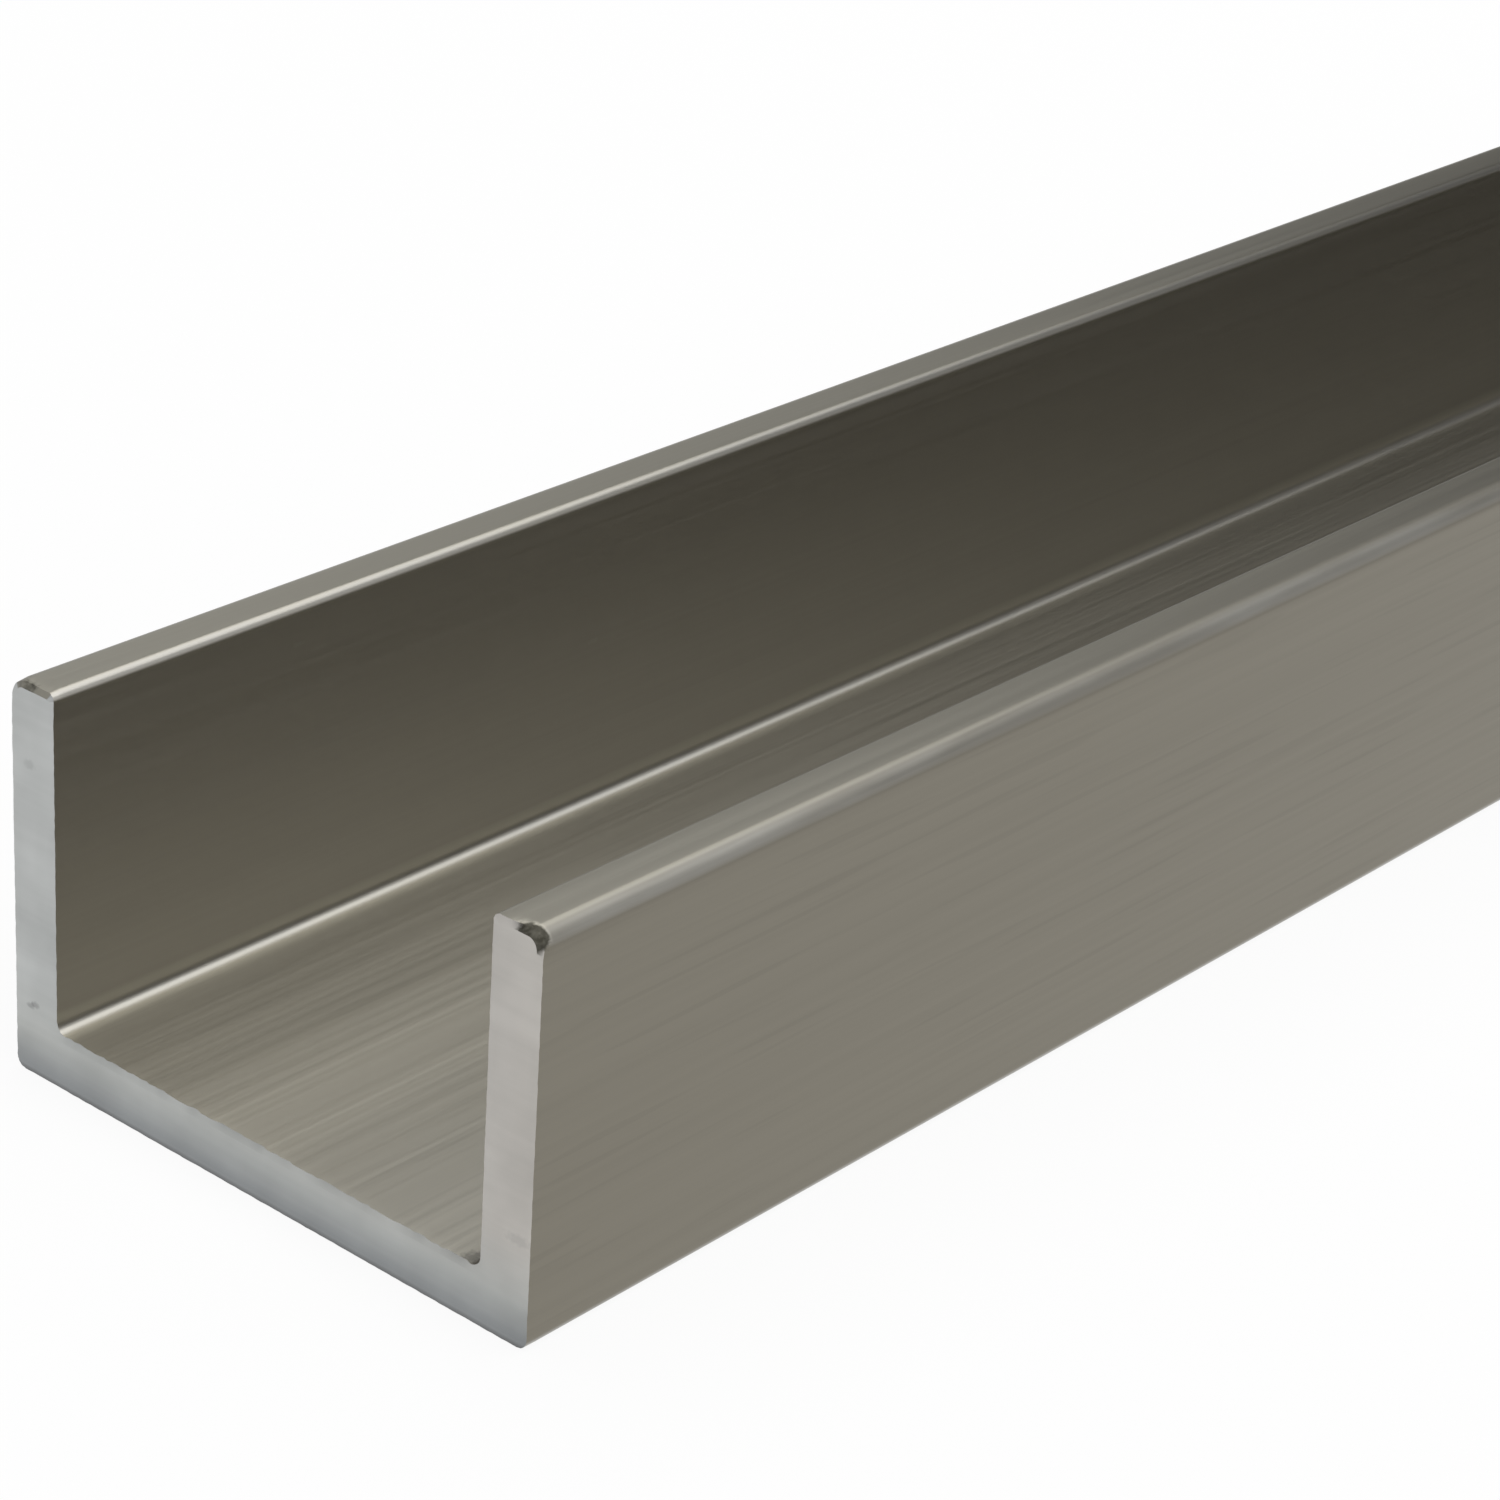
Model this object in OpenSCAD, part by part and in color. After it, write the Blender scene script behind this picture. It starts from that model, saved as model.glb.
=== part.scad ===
// Metal channel section: one straight length of extruded U channel, sawn square at both ends.
// It lies on its web with the flanges up. The length runs along X, the web across Y.
// The origin is on the floor, under the middle of the length and of the web. Units are millimetres.

/* [Section] */
// Outside width across the web, from flange face to flange face
web_width = 23; // [16:0.5:60]
// Outside height, from the underside of the web to the flange tips
flange_height = 14; // [8:0.5:40]
// Wall thickness of both flanges
flange_wall = 2; // [1.5:0.1:4]
// Wall thickness of the web
web_wall = 2; // [1.5:0.1:4]

/* [Edges] */
// Radius of the two long outside edges under the web
base_edge_radius = 0.4; // [0.1:0.1:1.4]
// Radius of the two fillets where the flanges rise from the web
inside_fillet_radius = 0.4; // [0.1:0.1:1.5]
// Radius of the long edge on the outside of each flange tip
tip_outer_radius = 0.6; // [0.1:0.1:0.8]
// Radius of the long edge on the inside of each flange tip
tip_inner_radius = 0.3; // [0.1:0.1:0.6]

/* [Length] */
// Length between the two sawn ends
stock_length = 300; // [50:5:2000]

/* [Hidden] */
mill_finish = [0.62, 0.6, 0.56];
// Half the clear width between the flanges
half_gap = web_width / 2 - flange_wall;
// How far a cutting shape runs past the face it cuts
overrun = 1;
$fn = 96;

// What a rounded edge takes off a square corner. The corner is at the origin and the metal fills
// the quarter where x and y are both negative.
module corner_waste(radius) {
    difference() {
        translate([-radius, -radius])
            square(radius + overrun);
        translate([-radius, -radius])
            circle(radius);
    }
}

// What a fillet adds to an inside corner. The corner is at the origin and the open space fills
// the quarter where x and y are both positive.
module corner_fill(radius) {
    difference() {
        square(radius);
        translate([radius, radius])
            circle(radius);
    }
}

// Right half of the section, from the middle of the web to the outer face of one flange
module half_section() {
    difference() {
        union() {
            square([web_width / 2, web_wall]);
            translate([half_gap, 0])
                square([flange_wall, flange_height]);
            translate([half_gap, web_wall])
                mirror([1, 0])
                    corner_fill(inside_fillet_radius);
        }
        translate([web_width / 2, 0])
            mirror([0, 1])
                corner_waste(base_edge_radius);
        translate([web_width / 2, flange_height])
            corner_waste(tip_outer_radius);
        translate([half_gap, flange_height])
            mirror([1, 0])
                corner_waste(tip_inner_radius);
    }
}

// Whole section, its two flanges mirror images of each other
module section() {
    half_section();
    mirror([1, 0])
        half_section();
}

// The section drawn across Y and Z and run along X for the full length
module channel() {
    color(mill_finish)
        rotate([90, 0, 90])
            linear_extrude(height = stock_length, center = true)
                section();
}

channel();
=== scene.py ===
"""Looks of a metal channel section: one length of satin U channel, sawn at both ends, on a pale floor."""

import logging
import math
import random
from abc import ABC, abstractmethod
from dataclasses import dataclass
from enum import Enum
from typing import ClassVar

import bmesh
import bpy
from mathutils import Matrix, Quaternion, Vector


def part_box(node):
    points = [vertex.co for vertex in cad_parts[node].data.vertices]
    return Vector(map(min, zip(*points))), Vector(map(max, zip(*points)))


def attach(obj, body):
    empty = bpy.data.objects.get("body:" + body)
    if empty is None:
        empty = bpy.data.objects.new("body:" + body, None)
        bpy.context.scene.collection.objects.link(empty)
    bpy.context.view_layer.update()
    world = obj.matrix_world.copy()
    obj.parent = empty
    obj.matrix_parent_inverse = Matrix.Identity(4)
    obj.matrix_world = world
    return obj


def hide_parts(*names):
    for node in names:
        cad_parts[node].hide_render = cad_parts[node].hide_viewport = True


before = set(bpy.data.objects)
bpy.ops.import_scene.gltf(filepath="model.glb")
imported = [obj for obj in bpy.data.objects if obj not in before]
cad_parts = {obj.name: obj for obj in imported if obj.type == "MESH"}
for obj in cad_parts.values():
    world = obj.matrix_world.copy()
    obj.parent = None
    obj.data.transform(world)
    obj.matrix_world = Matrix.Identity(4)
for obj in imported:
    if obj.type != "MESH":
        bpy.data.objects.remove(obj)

Pair = tuple[float, float]
Triple = tuple[float, float, float]
Socket = bpy.types.NodeSocket
Face = bmesh.types.BMFace
Vert = bmesh.types.BMVert

LOG = logging.getLogger("channel_section")
MM = 0.001
NODE = "channel"
BODY = "root"
PHOTO_SENSOR_WIDTH = 36.0

# Names of the numbers that the mesh carries at its points
OUTSIDE = "outside"
ROUNDED = "rounded"
TORN = "torn"

# Ranges that masks and patterns are mapped from and to
RISE: Pair = (0.0, 1.0)
FALL: Pair = (1.0, 0.0)
SWING: Pair = (-1.0, 1.0)
NOISE: Pair = (0.3, 0.7)

# Places of the colour sockets on Blender's Mix node, where several sockets share a name
MIX_FIRST = 6
MIX_SECOND = 7
MIX_RESULT = 2


class Skin(Enum):
    """Material slots of the bar, in the order in which they are added to its mesh."""

    SATIN = 0
    SAWN = 1


class End(Enum):
    """The two sawn ends of the bar, as the sign of their place along X."""

    NEAR = -1
    FAR = 1


@dataclass(frozen=True)
class Streak:
    """How fine a streak pattern is: its units to a metre along X, Y and Z, and its finer layers."""

    stretch: Triple
    detail: float = 2.0


@dataclass
class NodeSheet:
    """A small helper that adds and joins shader nodes in one node tree."""

    tree: bpy.types.NodeTree

    def add(self, kind: str, **settings: object) -> bpy.types.Node:
        """Adds a node and sets its properties.

        Args:
            kind: Blender's name of the node type.
            settings: properties of the node and the values they get.

        Returns:
            The new node.
        """
        node = self.tree.nodes.new(kind)
        for name, value in settings.items():
            setattr(node, name, value)
        return node

    def feed(self, target: Socket, value: Socket | float | Triple) -> None:
        """Joins an output to an input, or sets the input's own value.

        Args:
            target: the input.
            value: an output, a number, or three numbers for a vector or colour.
        """
        if isinstance(value, bpy.types.NodeSocket):
            self.tree.links.new(value, target)
        elif isinstance(value, tuple) and target.type == "RGBA":
            target.default_value = (*value, 1.0)
        else:
            target.default_value = value

    def place(self) -> Socket:
        """Gives the surface point in object coordinates."""
        return self.add("ShaderNodeTexCoord").outputs["Object"]

    def split(self, point: Socket) -> bpy.types.Node:
        """Takes a point or a direction apart.

        Args:
            point: what is taken apart.

        Returns:
            The node that puts out its X, Y and Z.
        """
        node = self.add("ShaderNodeSeparateXYZ")
        self.feed(node.inputs["Vector"], point)
        return node

    def attribute(self, name: str) -> Socket:
        """Gives a number that the mesh carries at its points."""
        return self.add("ShaderNodeAttribute", attribute_name=name).outputs["Fac"]

    def span(self, value: Socket, given: Pair, wanted: Pair = RISE) -> Socket:
        """Maps a value from one range to another, clamped.

        Args:
            value: what is mapped.
            given: the range it is mapped from.
            wanted: the range it is mapped to.

        Returns:
            The mapped value.
        """
        node = self.add("ShaderNodeMapRange")
        for name, number in zip(("From Min", "From Max", "To Min", "To Max"), (*given, *wanted)):
            node.inputs[name].default_value = number
        self.feed(node.inputs["Value"], value)
        return node.outputs["Result"]

    def math(self, operation: str, first: Socket | float, *others: Socket | float) -> Socket:
        """Combines values, one after the other.

        Args:
            operation: Blender's name of the operation.
            first: the first value, or a number.
            others: the values or numbers that follow.

        Returns:
            The result.
        """
        result = first
        for other in others:
            node = self.add("ShaderNodeMath", operation=operation)
            self.feed(node.inputs[0], result)
            self.feed(node.inputs[1], other)
            result = node.outputs[0]
        return result

    def vector(self, operation: str, first: Socket | Triple, second: Socket | Triple) -> Socket:
        """Combines two vectors into a vector.

        Args:
            operation: Blender's name of the operation.
            first: the first vector.
            second: the second vector.

        Returns:
            The result.
        """
        node = self.add("ShaderNodeVectorMath", operation=operation)
        self.feed(node.inputs[0], first)
        self.feed(node.inputs[1], second)
        return node.outputs["Vector"]

    def blend(self, mask: Socket, first: Triple | Socket, second: Triple | Socket) -> Socket:
        """Mixes two colours by a mask.

        Args:
            mask: 0 gives the first colour, 1 the second.
            first: a colour or a socket that gives one.
            second: a colour or a socket that gives one.

        Returns:
            The mixed colour.
        """
        node = self.add("ShaderNodeMix", data_type="RGBA")
        self.feed(node.inputs["Factor"], mask)
        self.feed(node.inputs[MIX_FIRST], first)
        self.feed(node.inputs[MIX_SECOND], second)
        return node.outputs[MIX_RESULT]

    def tint(self, colour: Socket, shade: Socket) -> Socket:
        """Makes a colour lighter or darker.

        Args:
            colour: the colour.
            shade: factor, about 1.

        Returns:
            The colour times the factor.
        """
        node = self.add("ShaderNodeVectorMath", operation="SCALE")
        self.feed(node.inputs[0], colour)
        self.feed(node.inputs["Scale"], shade)
        return node.outputs["Vector"]

    def noise(self, point: Socket, scale: float, detail: Socket | float) -> Socket:
        """Adds soft noise.

        Args:
            point: where it is read.
            scale: how fine it is.
            detail: how many finer layers it holds.

        Returns:
            The noise, mostly within the range NOISE.
        """
        node = self.add("ShaderNodeTexNoise")
        for name, value in (("Vector", point), ("Scale", scale), ("Detail", detail)):
            self.feed(node.inputs[name], value)
        return node.outputs["Fac"]

    def relief(self, height: Socket, strength: float, distance: float) -> Socket:
        """Turns a pattern into a fine relief.

        Args:
            height: the pattern.
            strength: how much of the relief shows.
            distance: its depth.

        Returns:
            The normal of the relief.
        """
        node = self.add("ShaderNodeBump")
        for name, value in (("Height", height), ("Strength", strength), ("Distance", distance)):
            self.feed(node.inputs[name], value)
        return node.outputs["Normal"]

    def shared(self, group: type["SharedGroup"], **values: Socket | float | Triple) -> bpy.types.Node:
        """Places a shared node group at the surface point.

        Args:
            group: which group.
            values: its other inputs, by their names.

        Returns:
            The node that holds the group.
        """
        node = self.add("ShaderNodeGroup", node_tree=group.tree())
        self.feed(node.inputs["Point"], self.place())
        for name, value in values.items():
            self.feed(node.inputs[name], value)
        return node

    def streaks(self, streak: Streak, depth: Socket | float) -> tuple[Socket, Socket]:
        """Places the shared streak pattern.

        Args:
            streak: how fine it is.
            depth: how far the shade swings about 1.

        Returns:
            The pattern's value from 0 to 1, and its shade about 1.
        """
        node = self.shared(StreakPattern, Stretch=streak.stretch, Depth=depth, Detail=streak.detail)
        return node.outputs["Value"], node.outputs["Shade"]


class SharedGroup(ABC):
    """A shader node group that is built once and placed in each material that needs it."""

    NAME: ClassVar[str]
    INPUTS: ClassVar[dict[str, str]]
    OUTPUTS: ClassVar[dict[str, str]]

    @classmethod
    @abstractmethod
    def wire(cls, sheet: NodeSheet, given: bpy.types.Node) -> dict[str, Socket]:
        """Adds the group's own nodes.

        Args:
            sheet: the group's node tree.
            given: the node that puts out the group's inputs.

        Returns:
            What feeds each of the group's outputs.
        """

    @classmethod
    def tree(cls) -> bpy.types.NodeTree:
        """Gives the group, and builds it the first time.

        Returns:
            The group's node tree.
        """
        if cls.NAME in bpy.data.node_groups:
            return bpy.data.node_groups[cls.NAME]
        tree = bpy.data.node_groups.new(cls.NAME, "ShaderNodeTree")
        for in_out, sockets in (("INPUT", cls.INPUTS), ("OUTPUT", cls.OUTPUTS)):
            for name, kind in sockets.items():
                tree.interface.new_socket(name, in_out=in_out, socket_type=kind)
        sheet = NodeSheet(tree)
        outputs = cls.wire(sheet, sheet.add("NodeGroupInput"))
        result = sheet.add("NodeGroupOutput")
        for name, value in outputs.items():
            sheet.feed(result.inputs[name], value)
        return tree


class StreakPattern(SharedGroup):
    """Noise stretched along the axes, for die lines, scratches, saw lines and cloudy patches."""

    NAME = "streak_pattern"
    INPUTS = {"Point": "NodeSocketVector", "Stretch": "NodeSocketVector",
              "Depth": "NodeSocketFloat", "Detail": "NodeSocketFloat"}
    OUTPUTS = {"Value": "NodeSocketFloat", "Shade": "NodeSocketFloat"}

    @classmethod
    def wire(cls, sheet: NodeSheet, given: bpy.types.Node) -> dict[str, Socket]:
        """Stretches the noise and swings a shade about 1.

        Args:
            sheet: the group's node tree.
            given: the node that puts out the group's inputs.

        Returns:
            What feeds each of the group's outputs.
        """
        stretched = sheet.vector("MULTIPLY", given.outputs["Point"], given.outputs["Stretch"])
        value = sheet.span(sheet.noise(stretched, 1.0, given.outputs["Detail"]), NOISE)
        swing = sheet.math("MULTIPLY", sheet.span(value, RISE, SWING), given.outputs["Depth"])
        return {"Value": value, "Shade": sheet.math("ADD", swing, 1.0)}


class SpotMark(SharedGroup):
    """One soft speck with a slightly ragged edge."""

    NAME = "spot_mark"
    INPUTS = {"Point": "NodeSocketVector", "Centre": "NodeSocketVector", "Reach": "NodeSocketVector"}
    OUTPUTS = {"Mask": "NodeSocketFloat"}
    GRAIN = 6000.0
    DETAIL = 2.0
    RAGGED: Pair = (-0.25, 0.25)
    EDGE: Pair = (0.45, 1.1)

    @classmethod
    def wire(cls, sheet: NodeSheet, given: bpy.types.Node) -> dict[str, Socket]:
        """Fades the speck out with the distance from its centre.

        Args:
            sheet: the group's node tree.
            given: the node that puts out the group's inputs.

        Returns:
            What feeds each of the group's outputs.
        """
        away = sheet.vector("SUBTRACT", given.outputs["Point"], given.outputs["Centre"])
        length = sheet.add("ShaderNodeVectorMath", operation="LENGTH")
        sheet.feed(length.inputs[0], sheet.vector("DIVIDE", away, given.outputs["Reach"]))
        noise = sheet.noise(given.outputs["Point"], cls.GRAIN, cls.DETAIL)
        ragged = sheet.math("ADD", length.outputs["Value"], sheet.span(noise, NOISE, cls.RAGGED))
        return {"Mask": sheet.span(ragged, cls.EDGE, FALL)}


class TornPatch(SharedGroup):
    """Darker grainy colour with a ragged outline, laid where a chip broke off the rim."""

    NAME = "torn_patch"
    INPUTS = {"Point": "NodeSocketVector", "Colour": "NodeSocketColor"}
    OUTPUTS = {"Colour": "NodeSocketColor", "Mask": "NodeSocketFloat"}
    # Colours laid over the chips, darker than the metal around them
    DARK: Triple = (0.06, 0.057, 0.045)
    LIGHT: Triple = (0.12, 0.115, 0.095)
    GRAIN = 5000.0
    DETAIL = 3.0
    CONTRAST: Pair = (0.35, 0.65)
    RAGGED: Pair = (-0.12, 0.12)
    EDGE: Pair = (0.2, 0.5)

    @classmethod
    def wire(cls, sheet: NodeSheet, given: bpy.types.Node) -> dict[str, Socket]:
        """Lays the darker grainy colour over a colour, where the mesh says that the rim is torn.

        Args:
            sheet: the group's node tree.
            given: the node that puts out the group's inputs.

        Returns:
            What feeds each of the group's outputs.
        """
        noise = sheet.noise(given.outputs["Point"], cls.GRAIN, cls.DETAIL)
        amount = sheet.math("ADD", sheet.attribute(TORN), sheet.span(noise, NOISE, cls.RAGGED))
        mask = sheet.span(amount, cls.EDGE)
        grain = sheet.blend(sheet.span(noise, cls.CONTRAST), cls.DARK, cls.LIGHT)
        return {"Colour": sheet.blend(mask, given.outputs["Colour"], grain), "Mask": mask}


@dataclass(frozen=True)
class Speck:
    """One small mark, its middle counted from the near end, its half sizes, colour and strength."""

    middle: Triple
    reach: Triple
    paint: Triple
    strength: float


@dataclass(frozen=True)
class MetalFinish:
    """What the bar's finishes share: a plain metal shader, and specks near the end that shows."""

    near_end: float

    def start(self, name: str) -> tuple[bpy.types.Material, NodeSheet, bpy.types.Node]:
        """Starts a metal material.

        Args:
            name: the material's name.

        Returns:
            The new material, the sheet of its nodes, and its shader.
        """
        material = bpy.data.materials.new(name)
        material.use_nodes = True
        shader = material.node_tree.nodes["Principled BSDF"]
        shader.inputs["Metallic"].default_value = 1.0
        return material, NodeSheet(material.node_tree), shader

    def speckle(self, sheet: NodeSheet, colour: Socket, specks: tuple[Speck, ...]) -> Socket:
        """Lays specks over a colour.

        Args:
            sheet: the material's node tree.
            colour: the colour they lie on.
            specks: the specks.

        Returns:
            The colour with the specks.
        """
        for speck in specks:
            along, across, up = speck.middle
            spot = sheet.shared(SpotMark, Centre=(self.near_end + along, across, up), Reach=speck.reach)
            mask = sheet.math("MULTIPLY", spot.outputs["Mask"], speck.strength)
            colour = sheet.blend(mask, colour, speck.paint)
        return colour


@dataclass(frozen=True)
class SatinFinish(MetalFinish):
    """Satin skin of an extruded bar, with lengthwise die lines and paler edges of wear and painted sheen.
    """

    web_top: float
    tip_top: float
    name: str = "satin_skin"
    # Painted light and shade: one metal, lighter on the web, flanks and tips, much darker outside
    seat: Triple = (0.498, 0.478, 0.416)
    flank: Triple = (0.34, 0.323, 0.285)
    tip: Triple = (0.446, 0.427, 0.364)
    outside: Triple = (0.2135, 0.198, 0.161)
    worn: Triple = (0.42, 0.408, 0.375)
    # Outer edges: partly wear, partly painted sheen filling the dim band under their highlight
    wear_and_sheen_outside: Triple = (0.363, 0.3535, 0.323)
    # Painted shade in the near inside corner
    painted_corner_shade: Triple = (0.12, 0.118, 0.11)
    # Heights counted from the web's top
    flank_start: Pair = (0.3 * MM, 0.8 * MM)
    bands_end: Pair = (0.2 * MM, 0.7 * MM)
    # Heights counted from the flange tips
    tip_start: Pair = (-0.4 * MM, -0.2 * MM)
    edge_start: Pair = (-0.7 * MM, -0.5 * MM)
    die_lines: Streak = Streak((25.0, 5000.0, 5000.0))
    die_depth: float = 0.01
    bands: Streak = Streak((6.0, 650.0, 650.0), 3.0)
    band_depth: Pair = (0.015, 0.06)
    scratches: Streak = Streak((90.0, 2800.0, 2800.0), 1.0)
    scratch_share: Pair = (0.78, 0.95)
    scratch_depth: Pair = (0.015, 0.06)
    wear_and_sheen: Streak = Streak((120.0, 700.0, 700.0))
    wear_and_sheen_share: Pair = (0.2, 0.8)
    wear_and_sheen_strength: Pair = (0.6, 1.0)
    roughness: float = 0.33
    die_roughness: float = 0.03
    edge_roughness: float = 0.17
    torn_roughness: float = 0.2
    anisotropy: float = 0.5
    quarter_turn: float = 0.25
    relief_strength: float = 0.04
    relief_depth: float = 0.01 * MM

    def over(self, base: float, heights: Pair) -> Pair:
        """Gives two heights over the floor from two that are counted from a base."""
        return (base + heights[0], base + heights[1])

    def specks(self) -> tuple[Speck, ...]:
        """Lists the skin's specks: painted shade in the near inside corner and rubs on the far flange.

        Returns:
            The specks.
        """
        return (
            # Painted shade in the near inside corner
            Speck((0.3 * MM, -9.0 * MM, 2.1 * MM), (0.5 * MM, 0.45 * MM, 0.4 * MM), self.painted_corner_shade, 0.6),
            Speck((10.4 * MM, 9.5 * MM, 12.6 * MM), (0.3 * MM, 0.3 * MM, 0.1 * MM), self.worn, 0.25),
            Speck((11.4 * MM, 9.5 * MM, 12.2 * MM), (0.4 * MM, 0.3 * MM, 0.08 * MM), self.worn, 0.2),
            Speck((24.8 * MM, 9.5 * MM, 8.4 * MM), (0.3 * MM, 0.3 * MM, 0.12 * MM), self.worn, 0.2),
        )

    def tone(self, sheet: NodeSheet, outer: Socket, height: Socket) -> Socket:
        """Gives each face's colour, in painted light and shade, and the edges' wear and painted sheen.

        Args:
            sheet: the material's node tree.
            outer: 1 on the outer faces, 0 on the inner ones.
            height: height over the floor.

        Returns:
            The colour before streaks and specks.
        """
        # Painted light on the inner faces and painted shade outside, as tones of one metal
        above = sheet.span(height, self.over(self.web_top, self.flank_start))
        top = sheet.span(height, self.over(self.tip_top, self.tip_start))
        plain = sheet.blend(top, sheet.blend(above, self.seat, self.flank), self.tip)
        plain = sheet.blend(outer, plain, self.outside)
        # Worn colour on the rounded edges, outside also painted sheen
        worn = sheet.blend(outer, self.worn, self.wear_and_sheen_outside)
        patches, _ = sheet.streaks(self.wear_and_sheen, 0.0)
        strength = sheet.span(patches, self.wear_and_sheen_share, self.wear_and_sheen_strength)
        return sheet.blend(sheet.math("MULTIPLY", sheet.attribute(ROUNDED), strength), plain, worn)

    def shade(self, sheet: NodeSheet, outer: Socket, height: Socket) -> Socket:
        """Gives the shade of bands, strong on the web, and of scratches, strong there and outside.

        Args:
            sheet: the material's node tree.
            outer: 1 on the outer faces, 0 on the inner ones.
            height: height over the floor.

        Returns:
            The shade, about 1.
        """
        low = sheet.span(height, self.over(self.web_top, self.bands_end), FALL)
        on_web = sheet.math("MULTIPLY", low, sheet.span(outer, RISE, FALL))
        _, band_shade = sheet.streaks(self.bands, sheet.span(on_web, RISE, self.band_depth))
        scratch, _ = sheet.streaks(self.scratches, 0.0)
        rubbed = sheet.span(sheet.math("MAXIMUM", outer, on_web), RISE, self.scratch_depth)
        scratch = sheet.math("MULTIPLY", sheet.span(scratch, self.scratch_share), rubbed)
        return sheet.math("MULTIPLY", band_shade, sheet.math("SUBTRACT", 1.0, scratch))

    def material(self) -> bpy.types.Material:
        """Builds the skin's material.

        Returns:
            The new material.
        """
        material, sheet, shader = self.start(self.name)
        outer = sheet.attribute(OUTSIDE)
        height = sheet.split(sheet.place()).outputs["Z"]
        lines, line_shade = sheet.streaks(self.die_lines, self.die_depth)
        shade = sheet.math("MULTIPLY", line_shade, self.shade(sheet, outer, height))
        colour = sheet.tint(self.tone(sheet, outer, height), shade)
        torn = sheet.shared(TornPatch, Colour=self.speckle(sheet, colour, self.specks()))
        sheet.feed(shader.inputs["Base Color"], torn.outputs["Colour"])
        swing = (self.roughness + self.die_roughness, self.roughness - self.die_roughness)
        rough = sheet.span(lines, RISE, swing)
        edge = sheet.math("MULTIPLY", outer, sheet.span(height, self.over(self.tip_top, self.edge_start)))
        edge_rough = sheet.math("MULTIPLY", edge, self.edge_roughness)
        torn_rough = sheet.math("MULTIPLY", torn.outputs["Mask"], self.torn_roughness)
        sheet.feed(shader.inputs["Roughness"], sheet.math("ADD", rough, edge_rough, torn_rough))
        shader.inputs["Anisotropic"].default_value = self.anisotropy
        shader.inputs["Anisotropic Rotation"].default_value = self.quarter_turn
        along = sheet.add("ShaderNodeCombineXYZ")
        along.inputs["X"].default_value = 1.0
        sheet.feed(shader.inputs["Tangent"], along.outputs["Vector"])
        sheet.feed(shader.inputs["Normal"], sheet.relief(lines, self.relief_strength, self.relief_depth))
        return material


@dataclass(frozen=True)
class SawnFinish(MetalFinish):
    """Bare metal left by the saw, paler and rougher than the skin."""

    name: str = "sawn_face"
    far: Triple = (0.496, 0.509, 0.503)
    near: Triple = (0.496, 0.476, 0.447)
    # Painted shade, darker towards the floor: the floor's shadow as seen in the sawn metal
    web: Triple = (0.447, 0.458, 0.445)
    under: Triple = (0.287, 0.3, 0.306)
    rim: Triple = (0.16, 0.162, 0.165)
    speck: Triple = (0.2, 0.2, 0.2)
    # Places across the web between which the near flange's tone turns into the far one's
    far_start: Pair = (-11.0 * MM, 9.0 * MM)
    # Heights over the floor between which each tone fades out
    web_end: Pair = (1.4 * MM, 3.6 * MM)
    under_end: Pair = (0.35 * MM, 1.6 * MM)
    rim_end: Pair = (0.06 * MM, 0.22 * MM)
    rim_strength: Pair = (0.8, 0.0)
    clouds: Streak = Streak((300.0, 300.0, 300.0), 3.0)
    cloud_depth: float = 0.04
    saw_lines: Streak = Streak((200.0, 70.0, 2200.0))
    saw_depth: float = 0.03
    roughness: float = 0.5
    cloud_roughness: float = 0.06
    torn_roughness: float = 0.1
    relief_strength: float = 0.12
    relief_depth: float = 0.02 * MM

    def specks(self) -> tuple[Speck, ...]:
        """Lists the sawn face's specks, three on the far flange and one on the near flange.

        Returns:
            The specks.
        """
        return (
            Speck((0.0, 10.76 * MM, 2.5 * MM), (1.0 * MM, 0.22 * MM, 0.13 * MM), self.speck, 0.5),
            Speck((0.0, 10.54 * MM, 2.6 * MM), (1.0 * MM, 0.22 * MM, 0.13 * MM), self.speck, 0.5),
            Speck((0.0, 10.66 * MM, 11.2 * MM), (1.0 * MM, 0.3 * MM, 0.18 * MM), self.speck, 0.2),
            Speck((0.0, -11.0 * MM, 3.7 * MM), (1.0 * MM, 0.55 * MM, 0.22 * MM), self.speck, 0.2),
        )

    def tone(self, sheet: NodeSheet) -> Socket:
        """Gives the bare metal's colour: cool on one flange, warm on the other, with painted shade low
        down.

        Args:
            sheet: the material's node tree.

        Returns:
            The colour with its specks, before saw lines.
        """
        place = sheet.split(sheet.place()).outputs
        colour = sheet.blend(sheet.span(place["Y"], self.far_start), self.near, self.far)
        # Painted shade, band by band towards the floor
        for heights, strength, paint in (
                (self.web_end, FALL, self.web),
                (self.under_end, FALL, self.under),
                (self.rim_end, self.rim_strength, self.rim)):
            colour = sheet.blend(sheet.span(place["Z"], heights, strength), colour, paint)
        return self.speckle(sheet, colour, self.specks())

    def material(self) -> bpy.types.Material:
        """Builds the sawn face's material.

        Returns:
            The new material.
        """
        material, sheet, shader = self.start(self.name)
        clouds, cloud_shade = sheet.streaks(self.clouds, self.cloud_depth)
        lines, line_shade = sheet.streaks(self.saw_lines, self.saw_depth)
        shade = sheet.math("MULTIPLY", cloud_shade, line_shade)
        torn = sheet.shared(TornPatch, Colour=sheet.tint(self.tone(sheet), shade))
        sheet.feed(shader.inputs["Base Color"], torn.outputs["Colour"])
        swing = (self.roughness + self.cloud_roughness, self.roughness - self.cloud_roughness)
        torn_rough = sheet.math("MULTIPLY", torn.outputs["Mask"], self.torn_roughness)
        rough = sheet.math("ADD", sheet.span(clouds, RISE, swing), torn_rough)
        sheet.feed(shader.inputs["Roughness"], rough)
        sheet.feed(shader.inputs["Normal"], sheet.relief(lines, self.relief_strength, self.relief_depth))
        return material


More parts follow.
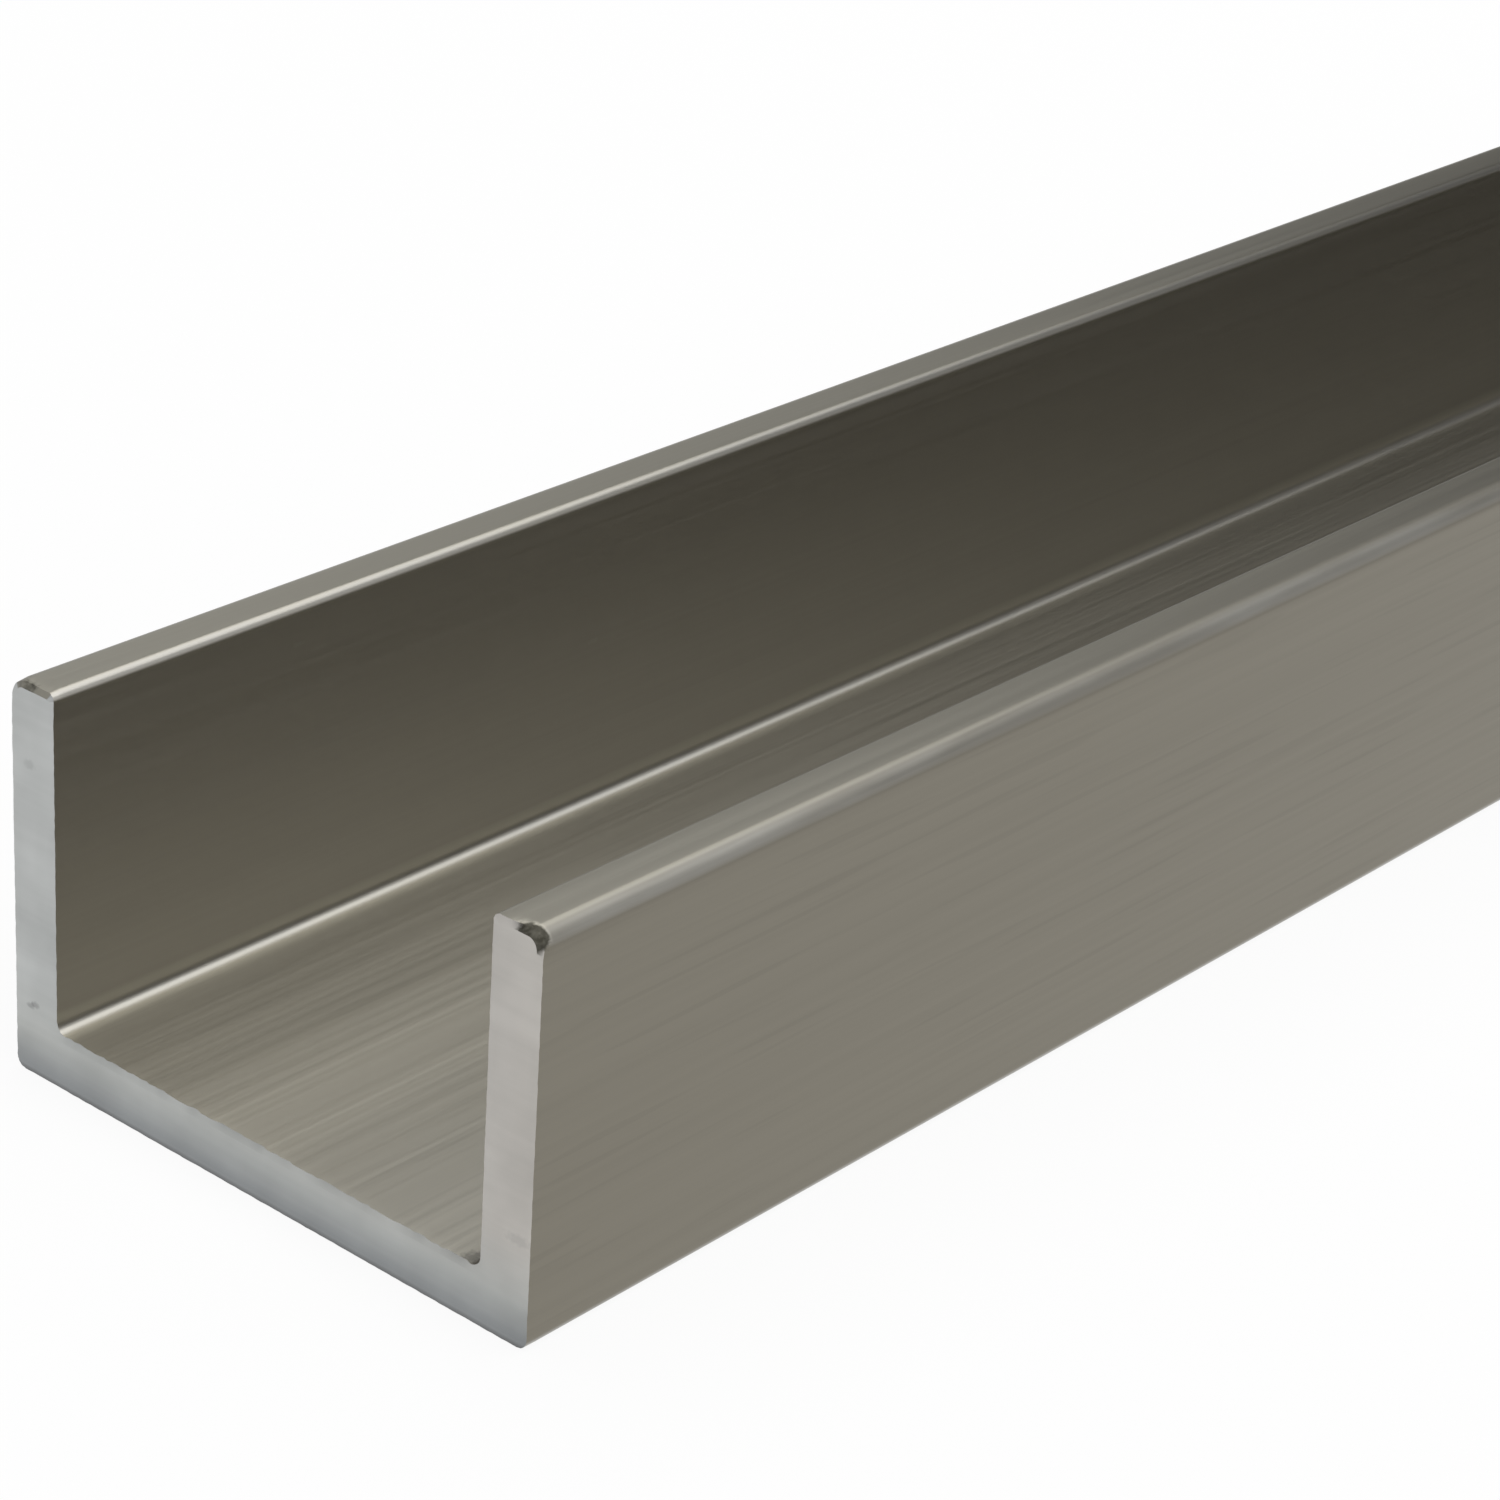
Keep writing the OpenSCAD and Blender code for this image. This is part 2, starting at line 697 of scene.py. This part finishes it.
@dataclass(frozen=True)
class RoundedEdge:
    """One long edge of the bar: its square corner across Y and Z, its radius and the way to its centre."""

    # How far off the arc a place may lie, as a share of the radius
    SLACK: ClassVar[float] = 0.05
    # Turns, from 0 at the upright flat to 1 at the level one, at which wear and painted sheen start and
    # end
    START: ClassVar[float] = 0.09
    START_SLOPE: ClassVar[float] = 6.0
    STOP: ClassVar[float] = 0.9
    STOP_SLOPE: ClassVar[float] = 3.6

    corner: Pair
    radius: float
    inward: tuple[int, int]

    def wear_and_sheen(self, y: float, z: float) -> float:
        """Says how much wear and painted sheen the edge gets at a place.

        Args:
            y: place across the web.
            z: height.

        Returns:
            1 round the middle of the arc, 0 where it meets the flats and away from it.
        """
        across = (self.corner[0] + self.inward[0] * self.radius - y) * self.inward[0]
        up = (self.corner[1] + self.inward[1] * self.radius - z) * self.inward[1]
        off = abs(math.hypot(across, up) - self.radius)
        if min(across, up) < 0.0 or off > self.SLACK * self.radius:
            return 0.0
        turn = math.atan2(up, across) / (math.pi / 2.0)
        rising = self.START_SLOPE * (turn - self.START)
        falling = self.STOP_SLOPE * (self.STOP - turn)
        return max(0.0, min(1.0, falling, rising))


@dataclass(frozen=True)
class Chip:
    """A broken stretch of a sawn rim: its middle across Y and Z, how far it reaches, and how it looks."""

    # Over 1, so that the chip's middle is level
    SLOPE: ClassVar[float] = 1.6

    middle: Pair
    reach: float
    depth: float
    skin: Skin
    torn: float

    def weight(self, y: float, z: float) -> float:
        """Says how much of the chip's full depth is broken off at a place of the rim.

        Args:
            y: place across the web.
            z: height.

        Returns:
            1 in the chip's middle, falling to 0 at its reach.
        """
        away = math.dist((y, z), self.middle) / self.reach
        return min(1.0, max(0.0, self.SLOPE * (1.0 - away)))


@dataclass
class ChannelBar:
    """The bar itself: an extruded U section with rounded long edges and sawn ends."""

    low: Vector
    high: Vector
    name: str = "channel_bar"
    flange_wall: float = 2.0 * MM
    web_wall: float = 2.0 * MM
    base_radius: float = 0.4 * MM
    fillet_radius: float = 0.4 * MM
    tip_outer_radius: float = 0.6 * MM
    tip_inner_radius: float = 0.3 * MM
    # Share of the outer tip radius over which the top's tone passes into the outside's painted shade
    outside_share: float = 0.12
    arc_steps: int = 10
    sharp_degrees: float = 30.0
    rim_step: float = 0.2 * MM
    rim_width: float = 0.24 * MM
    lip_width: float = 0.03 * MM
    rim_depth: float = 0.5 * MM
    rim_break: float = 0.08
    # Weight past which a chip gives a face of the rim its own skin
    chip_core: float = 0.75
    saw_jitter: float = 0.08 * MM
    # Share of the jitter that the rim has away from the web's upper edge
    calm_share: float = 0.25
    # Least part of a sawn end's normal that lies along the bar
    end_facing: float = 0.99
    seed: int = 7

    def long_edges(self) -> list[RoundedEdge]:
        """Gives the bar's eight long edges in order round the section.

        Returns:
            The edges, from the one under the right flange on to the one under the left flange.
        """
        outer, inner = self.high.y, self.high.y - self.flange_wall
        base, seat, tip = self.low.z, self.low.z + self.web_wall, self.high.z
        right = [
            ((outer, base), self.base_radius, (-1, 1)),
            ((outer, tip), self.tip_outer_radius, (-1, -1)),
            ((inner, tip), self.tip_inner_radius, (1, -1)),
            ((inner, seat), self.fillet_radius, (-1, 1)),
        ]
        left = [((-y, z), radius, (-across, up)) for (y, z), radius, (across, up) in reversed(right)]
        return [RoundedEdge(*values) for values in right + left]

    def section(self, bm: bmesh.types.BMesh) -> Face:
        """Draws the section at the near end, with rounded corners and finely divided sides.

        Args:
            bm: the mesh being built.

        Returns:
            The section's face.
        """
        edges = self.long_edges()
        ring = [bm.verts.new((self.low.x, *edge.corner)) for edge in edges]
        bm.faces.new(ring)
        for vert, edge in zip(ring, edges):
            bmesh.ops.bevel(
                bm, geom=[vert], offset=edge.radius, offset_type="OFFSET", segments=self.arc_steps,
                profile=0.5, affect="VERTICES", material=-1, clamp_overlap=False)
        for side in [side for side in bm.edges if side.calc_length() > 2.0 * self.rim_step]:
            cuts = round(side.calc_length() / self.rim_step) - 1
            bmesh.ops.subdivide_edges(bm, edges=[side], cuts=cuts)
        return bm.faces[:][0]

    def run_length(self, bm: bmesh.types.BMesh) -> None:
        """Runs the section along the whole length, with a ring of points a little way in from each end.

        Args:
            bm: the mesh being built.
        """
        run = bmesh.ops.extrude_face_region(bm, geom=[self.section(bm)])
        moved = [item for item in run["geom"] if isinstance(item, Vert)]
        bmesh.ops.translate(bm, verts=moved, vec=(self.high.x - self.low.x, 0.0, 0.0))
        bmesh.ops.recalc_face_normals(bm, faces=bm.faces[:])
        for end, plane in ((End.NEAR, self.low.x), (End.FAR, self.high.x)):
            geom = bm.verts[:] + bm.edges[:] + bm.faces[:]
            cut = Vector((plane - end.value * self.rim_depth, 0.0, 0.0))
            bmesh.ops.bisect_plane(bm, geom=geom, plane_co=cut, plane_no=(1.0, 0.0, 0.0))

    def mark_regions(self, bm: bmesh.types.BMesh) -> None:
        """Writes onto the mesh which points are on the outside and which on a rounded edge.

        Args:
            bm: the mesh being built.
        """
        outside = bm.verts.layers.float.new(OUTSIDE)
        rounded = bm.verts.layers.float.new(ROUNDED)
        bm.verts.layers.float.new(TORN)
        edges = self.long_edges()
        side_start = self.high.y - self.tip_outer_radius
        for vert in bm.verts:
            y, z = vert.co.y, vert.co.z
            vert[rounded] = max(edge.wear_and_sheen(y, z) for edge in edges)
            drop = (self.high.z - z) / (self.outside_share * self.tip_outer_radius)
            vert[outside] = min(1.0, max(0.0, drop)) if abs(y) > side_start else 0.0
            if z < self.web_wall / 2.0:
                vert[outside] = 1.0

    def end_face(self, bm: bmesh.types.BMesh, end: End) -> Face:
        """Finds the face of one sawn end.

        Args:
            bm: the mesh being built.
            end: which end.

        Returns:
            The largest face that looks out of that end.
        """
        faces = [face for face in bm.faces if face.normal.x * end.value > self.end_facing]
        return max(faces, key=lambda face: face.calc_area())

    def chips(self, end: End) -> list[Chip]:
        """Lists the broken stretches of one end's rim.

        Args:
            end: which end.

        Returns:
            The chips, the later ones over the earlier.
        """
        if end is End.FAR:
            return []
        outer, tip = self.high.y, self.high.z
        near_middle = (-outer + 0.42 * MM, tip - 0.07 * MM)
        return [
            Chip((outer - 1.0 * MM, tip), reach=1.5 * MM, depth=0.5, skin=Skin.SATIN, torn=0.0),
            Chip((outer - 0.8 * MM, tip), reach=0.6 * MM, depth=0.6, skin=Skin.SATIN, torn=0.42),
            Chip(near_middle, reach=0.8 * MM, depth=1.0, skin=Skin.SAWN, torn=1.0),
        ]

    def inset_end(self, bm: bmesh.types.BMesh, end: End) -> tuple[list[Face], set[Vert], set[Vert]]:
        """Insets one sawn end twice: for its rim, and for a narrow lip within the rim.

        Args:
            bm: the mesh being built.
            end: which end.

        Returns:
            The rim's faces, the points along its outside, and those between it and the lip.
        """
        rings = []
        for width in (self.rim_width, self.lip_width):
            face = self.end_face(bm, end)
            inset = bmesh.ops.inset_region(bm, faces=[face], thickness=width, use_even_offset=True)
            rings.append(inset["faces"])
        rim, lip = rings
        core = set(self.end_face(bm, end).verts)
        within = {vert for piece in lip for vert in piece.verts if vert not in core}
        around = {vert for piece in rim for vert in piece.verts if vert not in within}
        return rim, around, within

    def break_rim(self, bm: bmesh.types.BMesh, end: End) -> None:
        """Breaks the sharp rim of one sawn end, ragged along the web's top and deeper at its chips.

        Args:
            bm: the mesh being built.
            end: which end.
        """
        rim, around, within = self.inset_end(bm, end)
        chips = self.chips(end)
        torn = bm.verts.layers.float[TORN]
        for vert in around | within:
            vert[torn] = max([0.0] + [chip.weight(vert.co.y, vert.co.z) * chip.torn for chip in chips])
        draw = random.Random(self.seed + end.value)
        web_half = self.high.y - self.flange_wall - self.fillet_radius
        for vert in sorted(around, key=lambda vert: (vert.co.y, vert.co.z)):
            y, z = vert.co.y, vert.co.z
            depth = max([self.rim_break] + [chip.weight(y, z) * chip.depth for chip in chips])
            others = [edge.other_vert(vert) for edge in vert.link_edges]
            steps = [other.co for other in others if other not in around]
            goal = sum(steps, Vector()) / len(steps)
            vert.co = vert.co.lerp(goal, depth)
            on_web = abs(y) < web_half and z > self.web_wall / 2.0
            share = 1.0 if on_web else self.calm_share
            vert.co.x -= end.value * draw.random() * self.saw_jitter * share
        for piece in rim:
            place = piece.calc_center_median()
            for chip in chips:
                if chip.weight(place.y, place.z) > self.chip_core:
                    piece.material_index = chip.skin.value
        LOG.info("%s end: %d rim faces", end.name.lower(), len(rim))

    def build(self) -> bpy.types.Object:
        """Makes the bar's mesh.

        Returns:
            The new object, with its place in its mesh.
        """
        bm = bmesh.new()
        self.run_length(bm)
        self.mark_regions(bm)
        for face in bm.faces:
            face.smooth = True
        for end in End:
            self.end_face(bm, end).material_index = Skin.SAWN.value
            self.break_rim(bm, end)
        bmesh.ops.recalc_face_normals(bm, faces=bm.faces[:])
        mesh = bpy.data.meshes.new(self.name)
        bm.to_mesh(mesh)
        bm.free()
        mesh.set_sharp_from_angle(angle=math.radians(self.sharp_degrees))
        bar = bpy.data.objects.new(self.name, mesh)
        bpy.context.scene.collection.objects.link(bar)
        even = bar.modifiers.new("even_shading", "WEIGHTED_NORMAL")
        even.keep_sharp = True
        return bar

    def dress(self, bar: bpy.types.Object) -> None:
        """Gives the bar its finishes, one to each material slot.

        Args:
            bar: the bar's object.
        """
        satin = SatinFinish(self.low.x, web_top=self.low.z + self.web_wall, tip_top=self.high.z)
        for finish in (satin, SawnFinish(self.low.x)):
            bar.data.materials.append(finish.material())

    def place(self) -> bpy.types.Object:
        """Builds and dresses the bar and sets it in the frame in place of its solid.

        Returns:
            The finished object.
        """
        bar = self.build()
        self.dress(bar)
        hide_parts(NODE)
        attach(bar, BODY)
        return bar


@dataclass
class Studio:
    """Pale floor, surroundings that are pale on some sides and dim on others, and one large soft lamp."""

    floor_half: float = 20.0
    floor_drop: float = 0.02 * MM
    floor_paint: Triple = (0.9, 0.9, 0.9)
    whiteness: float = 0.92
    # How bright the surroundings are, on the sides that the ways below name and elsewhere
    front: float = 0.9
    back: float = 0.5
    ends: float = 0.48
    around: float = 0.04
    # Ways to look between which one brightness passes into the next, along Y and then along X
    front_ways: Pair = (-0.75, -0.3)
    back_ways: Pair = (0.4, 0.75)
    behind_ways: Pair = (-0.6, -0.2)
    ahead_ways: Pair = (0.88, 0.97)
    # Ways along X between which the front is dimmed, and by how much
    dim_ways: Pair = (0.6, 0.84)
    dimmed: Pair = (1.0, 0.15)
    lamp_place: Triple = (0.13, -0.07, 0.7)
    lamp_length: float = 1.0
    lamp_width: float = 1.06
    lamp_power: float = 6.25

    def white_rays(self, sheet: NodeSheet) -> Socket:
        """Marks the rays that see the floor as plain white: camera, mirror and glass rays.

        Args:
            sheet: the node tree that needs the mask.

        Returns:
            1 for such a ray, 0 for light bounced off a dull surface.
        """
        path = sheet.add("ShaderNodeLightPath")
        kinds = ("Is Camera Ray", "Is Glossy Ray", "Is Transmission Ray")
        return sheet.math("MAXIMUM", *(path.outputs[kind] for kind in kinds))

    def floor_material(self) -> bpy.types.Material:
        """Builds the floor's material, white to the camera with a faint shadow.

        Returns:
            The new material.
        """
        material = bpy.data.materials.new("pale_floor")
        material.use_nodes = True
        tree = material.node_tree
        tree.nodes.clear()
        sheet = NodeSheet(tree)
        paint = sheet.add("ShaderNodeBsdfDiffuse")
        sheet.feed(paint.inputs["Color"], self.floor_paint)
        glow = sheet.add("ShaderNodeEmission")
        mix = sheet.add("ShaderNodeMixShader")
        sheet.feed(mix.inputs["Fac"], sheet.math("MULTIPLY", self.white_rays(sheet), self.whiteness))
        sheet.feed(mix.inputs[1], paint.outputs["BSDF"])
        sheet.feed(mix.inputs[2], glow.outputs["Emission"])
        out = sheet.add("ShaderNodeOutputMaterial")
        sheet.feed(out.inputs["Surface"], mix.outputs["Shader"])
        return material

    def lay_floor(self) -> bpy.types.Object:
        """Lays the floor just under the bar.

        Returns:
            The floor's object.
        """
        bm = bmesh.new()
        bmesh.ops.create_grid(bm, x_segments=1, y_segments=1, size=self.floor_half)
        bmesh.ops.translate(bm, verts=bm.verts[:], vec=(0.0, 0.0, -self.floor_drop))
        mesh = bpy.data.meshes.new("pale_floor")
        bm.to_mesh(mesh)
        bm.free()
        mesh.materials.append(self.floor_material())
        floor = bpy.data.objects.new("pale_floor", mesh)
        bpy.context.scene.collection.objects.link(floor)
        return floor

    def surround(self) -> bpy.types.World:
        """Sets the surroundings: pale in front, less so at the back and past the bar's ends, dim between.

        Returns:
            The new world.
        """
        world = bpy.data.worlds.new("studio")
        bpy.context.scene.world = world
        world.use_nodes = True
        sheet = NodeSheet(world.node_tree)
        way = sheet.split(sheet.add("ShaderNodeTexCoord").outputs["Generated"]).outputs
        front = sheet.span(way["Y"], self.front_ways, (self.front, self.around))
        front = sheet.math("MULTIPLY", front, sheet.span(way["X"], self.dim_ways, self.dimmed))
        back = sheet.span(way["Y"], self.back_ways, (self.around, self.back))
        behind = sheet.span(way["X"], self.behind_ways, (self.ends, self.around))
        ahead = sheet.span(way["X"], self.ahead_ways, (self.around, self.ends))
        sky = world.node_tree.nodes["Background"]
        sheet.feed(sky.inputs["Strength"], sheet.math("MAXIMUM", front, back, behind, ahead))
        sheet.feed(sky.inputs["Color"], (1.0, 1.0, 1.0))
        return world

    def hang_lamp(self) -> bpy.types.Object:
        """Hangs the wide soft lamp over the bar, facing straight down.

        Returns:
            The lamp's object.
        """
        light = bpy.data.lights.new("over_lamp", "AREA")
        light.shape = "RECTANGLE"
        light.size = self.lamp_length
        light.size_y = self.lamp_width
        light.energy = self.lamp_power
        lamp = bpy.data.objects.new("over_lamp", light)
        lamp.location = self.lamp_place
        bpy.context.scene.collection.objects.link(lamp)
        return lamp


@dataclass
class PhotoCamera:
    """The camera at the place that the picture was taken from."""

    eye: Vector
    aim: Vector
    roll_degrees: float
    lens: float
    nearest: float = 5.0 * MM

    def place(self) -> bpy.types.Object:
        """Adds the camera and makes it the scene's own.

        Returns:
            The camera's object.
        """
        data = bpy.data.cameras.new("photo_camera")
        data.lens = self.lens
        data.sensor_width = PHOTO_SENSOR_WIDTH
        data.sensor_fit = "HORIZONTAL"
        data.clip_start = self.nearest
        camera = bpy.data.objects.new("photo_camera", data)
        camera.location = self.eye
        level = (self.aim - self.eye).to_track_quat("-Z", "Y")
        roll = Quaternion((0.0, 0.0, 1.0), math.radians(self.roll_degrees))
        camera.rotation_euler = (level @ roll).to_euler()
        bpy.context.scene.collection.objects.link(camera)
        bpy.context.scene.camera = camera
        return camera


def main() -> None:
    """Builds the channel, the studio and the camera, in that order."""
    logging.basicConfig(level=logging.INFO)
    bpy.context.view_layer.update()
    bpy.context.scene.view_settings.view_transform = "Standard"
    low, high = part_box(NODE)
    bar = ChannelBar(low, high).place()
    LOG.info("%s: %d faces", bar.name, len(bar.data.polygons))
    studio = Studio()
    for thing in (studio.lay_floor(), studio.surround(), studio.hang_lamp()):
        LOG.info("%s: set up", thing.name)
    camera = PhotoCamera(
        eye=Vector((-226.9, -82.02, 70.49)) * MM,
        aim=Vector((-114.3, 10.96, 0.0)) * MM,
        roll_degrees=3.85,
        lens=101.37,
    )
    LOG.info("%s: set up", camera.place().name)


if __name__ == "__main__":
    main()
